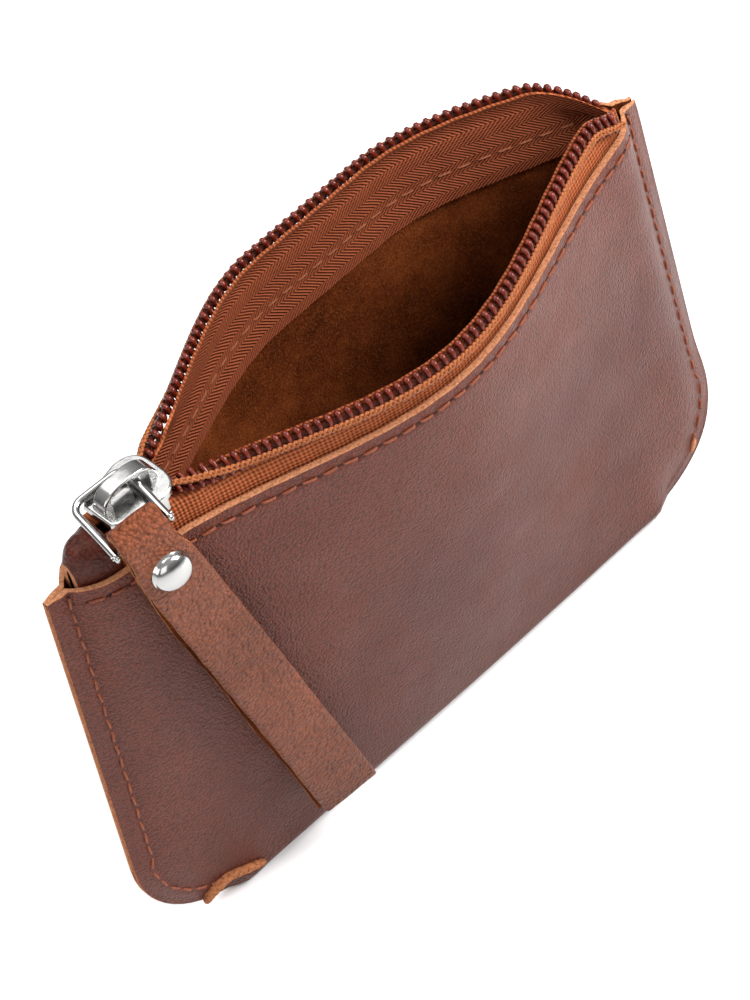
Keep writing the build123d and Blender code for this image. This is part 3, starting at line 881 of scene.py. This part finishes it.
# ---------------------------------------------------------------- stitching
def stitch(mesh, start, end, normal, radius=0.21, lift=0.1):
    """One stitch: a thread that comes out of one hole and dives into the next."""
    start, end, normal = Vector(start), Vector(end), Vector(normal).normalized()
    path, radii = [], []
    for t in (0.0, 0.06, 0.15, 0.3, 0.5, 0.7, 0.85, 0.94, 1.0):
        dive = max(abs(t - 0.5) * 2 - 0.62, 0) / 0.38
        p = start.lerp(end, t) + normal * (lift - 0.62 * dive ** 2)
        path.append(tuple(p))
        radii.append(radius * (1 - 0.25 * dive))
    mesh.rows(tube(path, radii, 8), 0, closed=True, caps=True)
    # the needle's hole at each end, slightly wider than the thread, its inside painted near black
    # as shade
    along = (end - start).normalized()
    for p, way in ((start, -1), (end, 1)):
        centre = p + along * way * 0.1 + normal * 0.02
        side_way = normal.cross(along)
        angles = [2 * pi * k / 10 for k in range(10)]
        ring = [tuple(centre + along * 0.24 * cos(a) + side_way * 0.2 * sin(a))
                for a in angles]
        deep = [tuple(centre + along * 0.12 * cos(a) + side_way * 0.1 * sin(a) - normal * 0.35)
                for a in angles]
        mesh.rows([ring, deep], 1, closed=True)


def surface(x, z, side):
    """Point a little under the grain face, and the face's normal."""
    def grain(x, z):
        return wall_y(x, z, side, LEATHER / 2)

    y = grain(x, z)
    dx = Vector((0.4, grain(x + 0.2, z) - grain(x - 0.2, z), 0))
    dz = Vector((0, grain(x, z + 0.2) - grain(x, z - 0.2), 0.4))
    normal = dx.cross(dz).normalized()
    if normal.y * side < 0:
        normal = -normal
    return Vector((x, y, z)) - normal * 0.14, normal


LENGTH, STEP = 2.25, 2.95


def lip_row(side, low_half):
    reach = half_width(LIP_STITCH_LEVEL) - SEAM_STITCH_IN - 1.5
    count = round(2 * reach / STEP)
    mesh = Mesher()
    for i in range(count):
        x = -reach + (i + 0.5) * 2 * reach / count
        if (x < SPLIT[side]) != low_half:
            continue
        slant = 0.1 * (1 if i % 2 else -1)
        a, normal = surface(x - LENGTH / 2, LIP_STITCH_LEVEL + slant, side)
        b, _ = surface(x + LENGTH / 2, LIP_STITCH_LEVEL - slant, side)
        stitch(mesh, a, b, normal)
    return mesh


def seam_place(s):
    radius = CORNER - SEAM_STITCH_IN
    straight = HEIGHT - CORNER
    if s < straight:
        return half_width(HEIGHT - s) - SEAM_STITCH_IN, HEIGHT - s
    angle = (s - straight) / radius
    return half_width(0) - CORNER + radius * cos(angle), CORNER - radius * sin(angle)


def seam_row(end, side):
    length = HEIGHT - CORNER + (CORNER - SEAM_STITCH_IN) * pi / 2
    mesh = Mesher()
    for i in range(int(length / STEP)):
        s = (i + 0.3) * STEP
        (x0, z0), (x1, z1) = seam_place(s), seam_place(s + LENGTH)
        if end > 0 and z1 < 6.5:
            break
        jog = 0.1 * (1 if i % 2 else -1)
        a, normal = surface(end * (x0 + jog), z0, side)
        b, _ = surface(end * (x1 - jog), z1, side)
        stitch(mesh, a, b, normal)
    return mesh


for side, low_half in PARTS:
    word, end = WORDS[side], ENDS[low_half]
    lip_stitches = lip_row(side, low_half).make(f"lip_stitches_{word}_{end}",
                                                [lip_thread, hole_shade])
    register(lip_stitches, f"{word}_lip_stitching")
    seam_stitches = seam_row(-1 if low_half else 1, side).make(f"seam_stitches_{word}_{end}",
                                                               [lip_thread, hole_shade])
    register(seam_stitches, f"{end}_seam_stitching")

# lighter thread that sews the tape, seen on the inside of it
for side, low_half in PARTS:
    mesh = Mesher()
    left, right = (-46, SPLIT[side]) if low_half else (SPLIT[side], 50)
    count = round((right - left) / STEP)
    for i in range(count):
        ends = []
        for t in (0.12, 0.88):
            x = left + (i + t) * (right - left) / count
            y = side * wall_y(x, LIP_STITCH_LEVEL, side, -SEWN) - TAPE / 2
            ends.append(Vector((x, side * (y + 0.02), LIP_STITCH_LEVEL)))
        stitch(mesh, ends[0], ends[1], (0, -side, 0), radius=0.15, lift=0.06)
    piece = mesh.make(f"tape_stitches_{WORDS[side]}_{ENDS[low_half]}", [inner_thread, hole_shade])
    bend(piece)


# ---------------------------------------------------------------- end tab
def slab(name, rows, thickness_rows, materials):
    """Closed sheet of leather from matching rows of its two faces, edges in the second material."""
    mesh = Mesher()
    mesh.rows(rows, 0)
    mesh.rows([row[::-1] for row in thickness_rows], 0)
    mesh.rim(rows, thickness_rows, 1)
    return mesh.make(name, materials)


tab_low, tab_high = box_mm("zip_end_tab")


def tab_rows(depth):
    """A roll of leather between the lips: it rises from the corner and ends at the slider."""
    left, right = tab_low[0] + 0.5, tab_high[0]
    rows = []
    for x in span(left, right, 22):
        t = (x - left) / (right - left)
        arch = 0.62 + 0.38 * sin(min(t / 0.32, 1) * pi / 2)
        top = mix(HEIGHT - 0.6, tab_high[2] + 0.3, arch)
        half = max(closed_gap(x, HEIGHT, FRONT) - LEATHER / 2 - 0.1, 0.5) - depth * 0.9
        half = max(half, 0.12)
        row = []
        for a in span(-90, 90, 25):
            a = radians(a)
            y = half * abs(sin(a)) ** 0.75 * (1 if a > 0 else -1)
            z = mix(HEIGHT - 2.5, top - depth, max(cos(a), 0.0) ** 0.55)
            crease = 0.16 * sin(x * 1.9 + a * 2.5) * cos(a * 1.5)
            row.append((x, y, z + crease))
        rows.append(row)
    return rows


tab = slab("end_tab", tab_rows(0), tab_rows(1.1), [tab_skin, raw_edge])
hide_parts("zip_end_tab")
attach(tab, "pouch")


# ---------------------------------------------------------------- metal
def lathe(profile, steps):
    """Rows of a turned form; profile is (radius, height) pairs from the rim to the middle."""
    return [[(r * cos(2 * pi * k / steps), r * sin(2 * pi * k / steps), h)
             for k in range(steps)] for r, h in profile]


PIN_TURN, PIN_TIP, STRAP_SWING = 8.0, 6.0, 13.0      # degrees

pin_axis = Vector((1, -tan(radians(PIN_TURN)), tan(radians(PIN_TIP)))).normalized()
ring_back = Vector((0, 1, 0.06))
ring_back = (ring_back - pin_axis * ring_back.dot(pin_axis)).normalized()
pin_centre = Vector((-44.1, -7.8, 87.6))
ring_normal = pin_axis.cross(ring_back)
strap_up = Vector((-sin(radians(STRAP_SWING)), 0, cos(radians(STRAP_SWING))))
strap_up = (strap_up - pin_axis * strap_up.dot(pin_axis)).normalized()
strap_out = pin_axis.cross(strap_up)


def in_ring(x, y, z=0.0):
    return tuple(pin_centre + pin_axis * x + ring_back * y + ring_normal * z)


def in_strap(x, u, n):
    return tuple(pin_centre + pin_axis * x + strap_up * u + strap_out * n)


# ring: a bent wire with its two legs closed on the pin
straight, inset = RING_REACH - RING_BEND, RING_HALF - RING_BEND
path = [(-RING_HALF, y) for y in (-0.9, 0, 1, 3, 5, 7, straight)]
path += [(-inset - RING_BEND * cos(radians(a)), straight + RING_BEND * sin(radians(a)))
         for a in (15, 30, 45, 60, 75, 90)]
path += [(x, RING_REACH) for x in (-1.5, 0, 1.5)]
path += [(inset + RING_BEND * sin(radians(a)), straight + RING_BEND * cos(radians(a)))
         for a in (0, 15, 30, 45, 60, 75, 90)]
path += [(RING_HALF, y) for y in (7, 5, 3, 1, 0, -0.9)]
radii = [0.45] + [WIRE] * (len(path) - 2) + [0.45]
ring_mesh = Mesher()
ring_mesh.rows(tube([in_ring(*p) for p in path], radii, 14), closed=True, caps=True)
ring = ring_mesh.make("ring_wire", [metal])
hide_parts("pull_ring")
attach(ring, "ring")

cap_rise = 1.36
cap_centre = (RIVET_DROP * tan(radians(STRAP_LEAN)), -RIVET_DROP, 1.15)
cap_mesh = Mesher()
profile = [(2.4, -0.3), (2.9, -0.25), (3.1, 0.0), (3.16, 0.17), (3.12, 0.3), (2.95, 0.46)]
profile += [(2.95 * cos(radians(a)), 0.46 + 1.5 * sin(radians(a)))
            for a in (10, 20, 30, 40, 50, 60, 70, 78, 85)]
# the cap sits a little askew, its lower edge lifted by the strap's bend
tip = radians(RIVET_TIP)
rows = [[in_strap(cap_centre[0] + x, cap_centre[1] + y * cos(tip) + h * sin(tip),
                  cap_centre[2] + cap_rise + h * cos(tip) - y * sin(tip))
         for x, y, h in row] for row in lathe(profile, 48)]
cap_mesh.rows(rows, closed=True)
n = len(rows[0])
cap_mesh.faces.append(tuple((len(rows) - 1) * n + k for k in range(n)))
cap_mesh.kinds.append(0)
cap = cap_mesh.make("rivet_dome", [metal])
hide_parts("rivet_cap")
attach(cap, "strap")

for name in ("slider_body", "slider_crown", "ring_pin", "rivet_post"):
    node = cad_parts[name]
    node.data.materials.clear()
    node.data.materials.append(metal)
    if name.startswith("slider"):
        bevel = node.modifiers.new("edge", "BEVEL")
        bevel.width = 0.00022
        bevel.segments = 3
        bevel.limit_method = "ANGLE"
        bevel.angle_limit = radians(35)
        bevel.harden_normals = True


# ---------------------------------------------------------------- pull strap
middle = [(-1.0, 1.2, 0.5), (0.0, 0.0, 0.6), (0.8, -3.0, 0.3), (1.15, -RIVET_DROP, 0.05),
          (1.3, -14, 0.12), (1.35, -35, 0.34), (0.85, -58, 0.3), (-0.1, -79.0, 0.12)]


def spline(points, count):
    """Smooth curve through points, count steps to each stretch."""
    out = []
    for i in range(len(points) - 1):
        p0, p1 = points[max(i - 1, 0)], points[i]
        p2, p3 = points[i + 1], points[min(i + 2, len(points) - 1)]
        for k in range(count):
            t = k / count
            out.append(tuple(
                0.5 * (2 * b + (c - a) * t + (2 * a - 5 * b + 4 * c - d) * t * t
                       + (3 * b - a - 3 * c + d) * t ** 3)
                for a, b, c, d in zip(p0, p1, p2, p3)))
    out.append(tuple(points[-1]))
    return out


def strap_ring(distance):
    """Side view of the folded strap at a distance outside the gap between its layers."""
    line = spline(middle, 8)
    front, back = [], []
    for i, (n, u, gap) in enumerate(line):
        a, b = line[max(i - 1, 0)], line[min(i + 1, len(line) - 1)]
        dn, du = unit(b[0] - a[0], b[1] - a[1])
        reach = gap + distance
        front.append((n - du * reach, u + dn * reach))
        back.append((n + du * reach, u - dn * reach))
    dn, du = unit(line[1][0] - line[0][0], line[1][1] - line[0][1])
    reach = line[0][2] + distance
    top = []
    for a in (60, 30, 0, -30, -60):
        a = radians(a)
        top.append((line[0][0] - dn * reach * cos(a) - du * reach * sin(a),
                    line[0][1] - du * reach * cos(a) + dn * reach * sin(a)))
    # over the top from the front layer to the back one
    return front[::-1] + top + back


def strap_half(u):
    ragged = 0.05 * sin(u * 0.8) + 0.04 * sin(u * 2.3)
    return mix(STRAP_HALF, NECK_HALF, smooth((u + 9.5) / 8.7)) + ragged


def strap_point(x, n, u):
    return in_strap(x - min(u, 0) * tan(radians(STRAP_LEAN)), u, n)


outer_line, inner_line = strap_ring(STRAP_LEATHER), strap_ring(0.03)
strap = Mesher()
across = [-1, -0.985, -0.95, -0.85, -0.65, -0.4, -0.15, 0.15, 0.4, 0.65, 0.85, 0.95, 0.985, 1]
rows_out, rows_in = [], []
for i, ((n1, u1), (n0, u0)) in enumerate(zip(outer_line, inner_line)):
    w = strap_half(u1)
    # the back layer's left edge sticks out a little beside the front one
    behind = i > len(outer_line) / 2
    ragged = 1 + 0.3 * sin(u1 * 0.21)
    out_left = BACK_LAYER_OUT * smooth((-u1 - 8) / 10) * ragged if behind else 0.0
    puff_n, puff_u = n1 - n0, u1 - u0
    size = max(hypot(puff_n, puff_u), 1e-6)
    row, inner_row = [], []
    for a in across:
        drop = 0.32 * max(abs(a) - 0.94, 0) / 0.06 + 0.05 * a * a
        ripple = 0.05 * sin(u1 * 0.9 + a * 2.0) + 0.04 * sin(u1 * 0.37 + a * 4.0)
        lift = (ripple - drop) / size
        x = a * w - (out_left if a < -0.8 else 0.0)
        row.append(strap_point(x, n1 + puff_n * lift, u1 + puff_u * lift))
        inner_row.append(strap_point(x, n0, u0))
    rows_out.append(row)
    rows_in.append(inner_row)
strap.rows([r[::-1] for r in rows_out], 0)
strap.rows(rows_in, 2)
# the cut edges: both long ones, then the two ends
for j, way in ((0, 1), (-1, -1)):
    strap.rows([[lerp(a[j], b[j], t) for t in (0, 0.33, 0.67, 1)][::way]
                for a, b in zip(rows_out, rows_in)], 1)
for i, way in ((0, 1), (-1, -1)):
    strap.rows([pair[::way] for pair in zip(rows_out[i], rows_in[i])], 1)
strap_piece = strap.make("strap", [strap_skin, strap_edge, flesh])
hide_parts("pull_strap")
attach(strap_piece, "strap")


# ---------------------------------------------------------------- raw strip at the corner
strip = Mesher()
ridge = [(-50.4, 1.9, 0.4), (-50.2, 2.4, 0.7), (-49.7, 3.1, 0.84), (-48.9, 3.8, 0.88),
         (-47.8, 4.3, 0.86), (-46.3, 4.5, 0.84), (-44.5, 4.45, 0.8), (-42.7, 4.15, 0.74),
         (-41.5, 3.8, 0.66), (-40.7, 3.5, 0.5), (-40.4, 3.35, 0.25)]
ridge = spline(ridge, 4)
path = [(x, wall_y(x, max(z, 1.0), FRONT, LEATHER / 2) - 0.28, z) for x, z, _ in ridge]
strip.rows(tube(path, [r * (1 + 0.06 * sin(i * 1.7)) for i, (_, _, r) in enumerate(ridge)], 12),
           closed=True, caps=True)
strip = strip.make("corner_strip", [strip_edge])
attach(strip, "pouch")

# raw spot where the right seam ends
spot = Mesher()
path = [(x, wall_y(x, z, FRONT, LEATHER / 2) + 0.05, z)
        for x, z in ((53.2, 7.9), (52.8, 7.1), (52.3, 6.3), (51.8, 5.8))]
spot.rows(tube(path, [0.25, 0.45, 0.42, 0.2], 10), closed=True, caps=True)
spot = spot.make("seam_end_right", [raw_edge])
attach(spot, "pouch")


# ---------------------------------------------------------------- floor, light and camera
FLOOR_REACH = 4.0               # metres


def floor():
    mesh = bpy.data.meshes.new("floor")
    low = min(size_before[0][2], 0.0) - 0.0004
    corners = [(x * FLOOR_REACH, y * FLOOR_REACH, low)
               for x, y in ((-1, -1), (1, -1), (1, 1), (-1, 1))]
    mesh.from_pydata(corners, [], [(0, 1, 2, 3)])
    mesh.materials.append(Shader("floor_white").done((0.93, 0.93, 0.93), 0.9))
    placed("floor", mesh)


def light(name, place, target, size, power):
    data = bpy.data.lights.new(name, "AREA")
    data.shape = "RECTANGLE"
    data.size, data.size_y = size
    data.energy = power
    lamp = placed(name, data)
    lamp.location = place
    way = Vector(target) - Vector(place)
    lamp.rotation_euler = way.to_track_quat("-Z", "Y").to_euler()


floor()
centre = (0, 0, 0.045)
light("key", (0.30, -0.26, 0.44), centre, (0.25, 0.25), 4.9)
light("fill", (-0.55, -0.6, 0.45), centre, (0.5, 0.5), 1.6)
light("top", (0.0, 0.3, 0.9), centre, (0.7, 0.5), 5.5)
light("left", (-0.8, 0.1, 0.4), centre, (0.5, 0.4), 1.8)

world = bpy.data.worlds.new("studio")
world.use_nodes = True
sky = world.node_tree
place = sky.nodes.new("ShaderNodeTexCoord")
height = sky.nodes.new("ShaderNodeSeparateXYZ")
tone = sky.nodes.new("ShaderNodeValToRGB")
tone.color_ramp.elements[0].color = (0.16, 0.16, 0.165, 1)
tone.color_ramp.elements[1].position = 0.75
tone.color_ramp.elements[1].color = (1.0, 1.0, 1.0, 1)
sky.links.new(place.outputs["Generated"], height.inputs[0])
sky.links.new(height.outputs[2], tone.inputs["Fac"])
sky.links.new(tone.outputs["Color"], sky.nodes["Background"].inputs[0])
sky.nodes["Background"].inputs[1].default_value = 0.6
bpy.context.scene.world = world

camera_data = bpy.data.cameras.new("camera")
camera_data.lens = 200.0
camera_data.sensor_width = 36.0
camera_data.clip_start = 0.05
camera = placed("camera", camera_data)
camera.location = (-0.2650, -0.4388, 0.6503)
azimuth, elevation, roll = radians(-30.83), radians(49.67), radians(-16.61)
forward = Vector((-sin(azimuth) * cos(elevation), cos(azimuth) * cos(elevation), -sin(elevation)))
right = Vector((cos(azimuth), sin(azimuth), 0))
up = right.cross(forward)
axes = Matrix((right, up, -forward)).transposed()
camera.rotation_euler = (axes @ Matrix.Rotation(roll, 3, "Z")).to_euler()
bpy.context.scene.camera = camera

bpy.context.scene.view_settings.view_transform = "Standard"
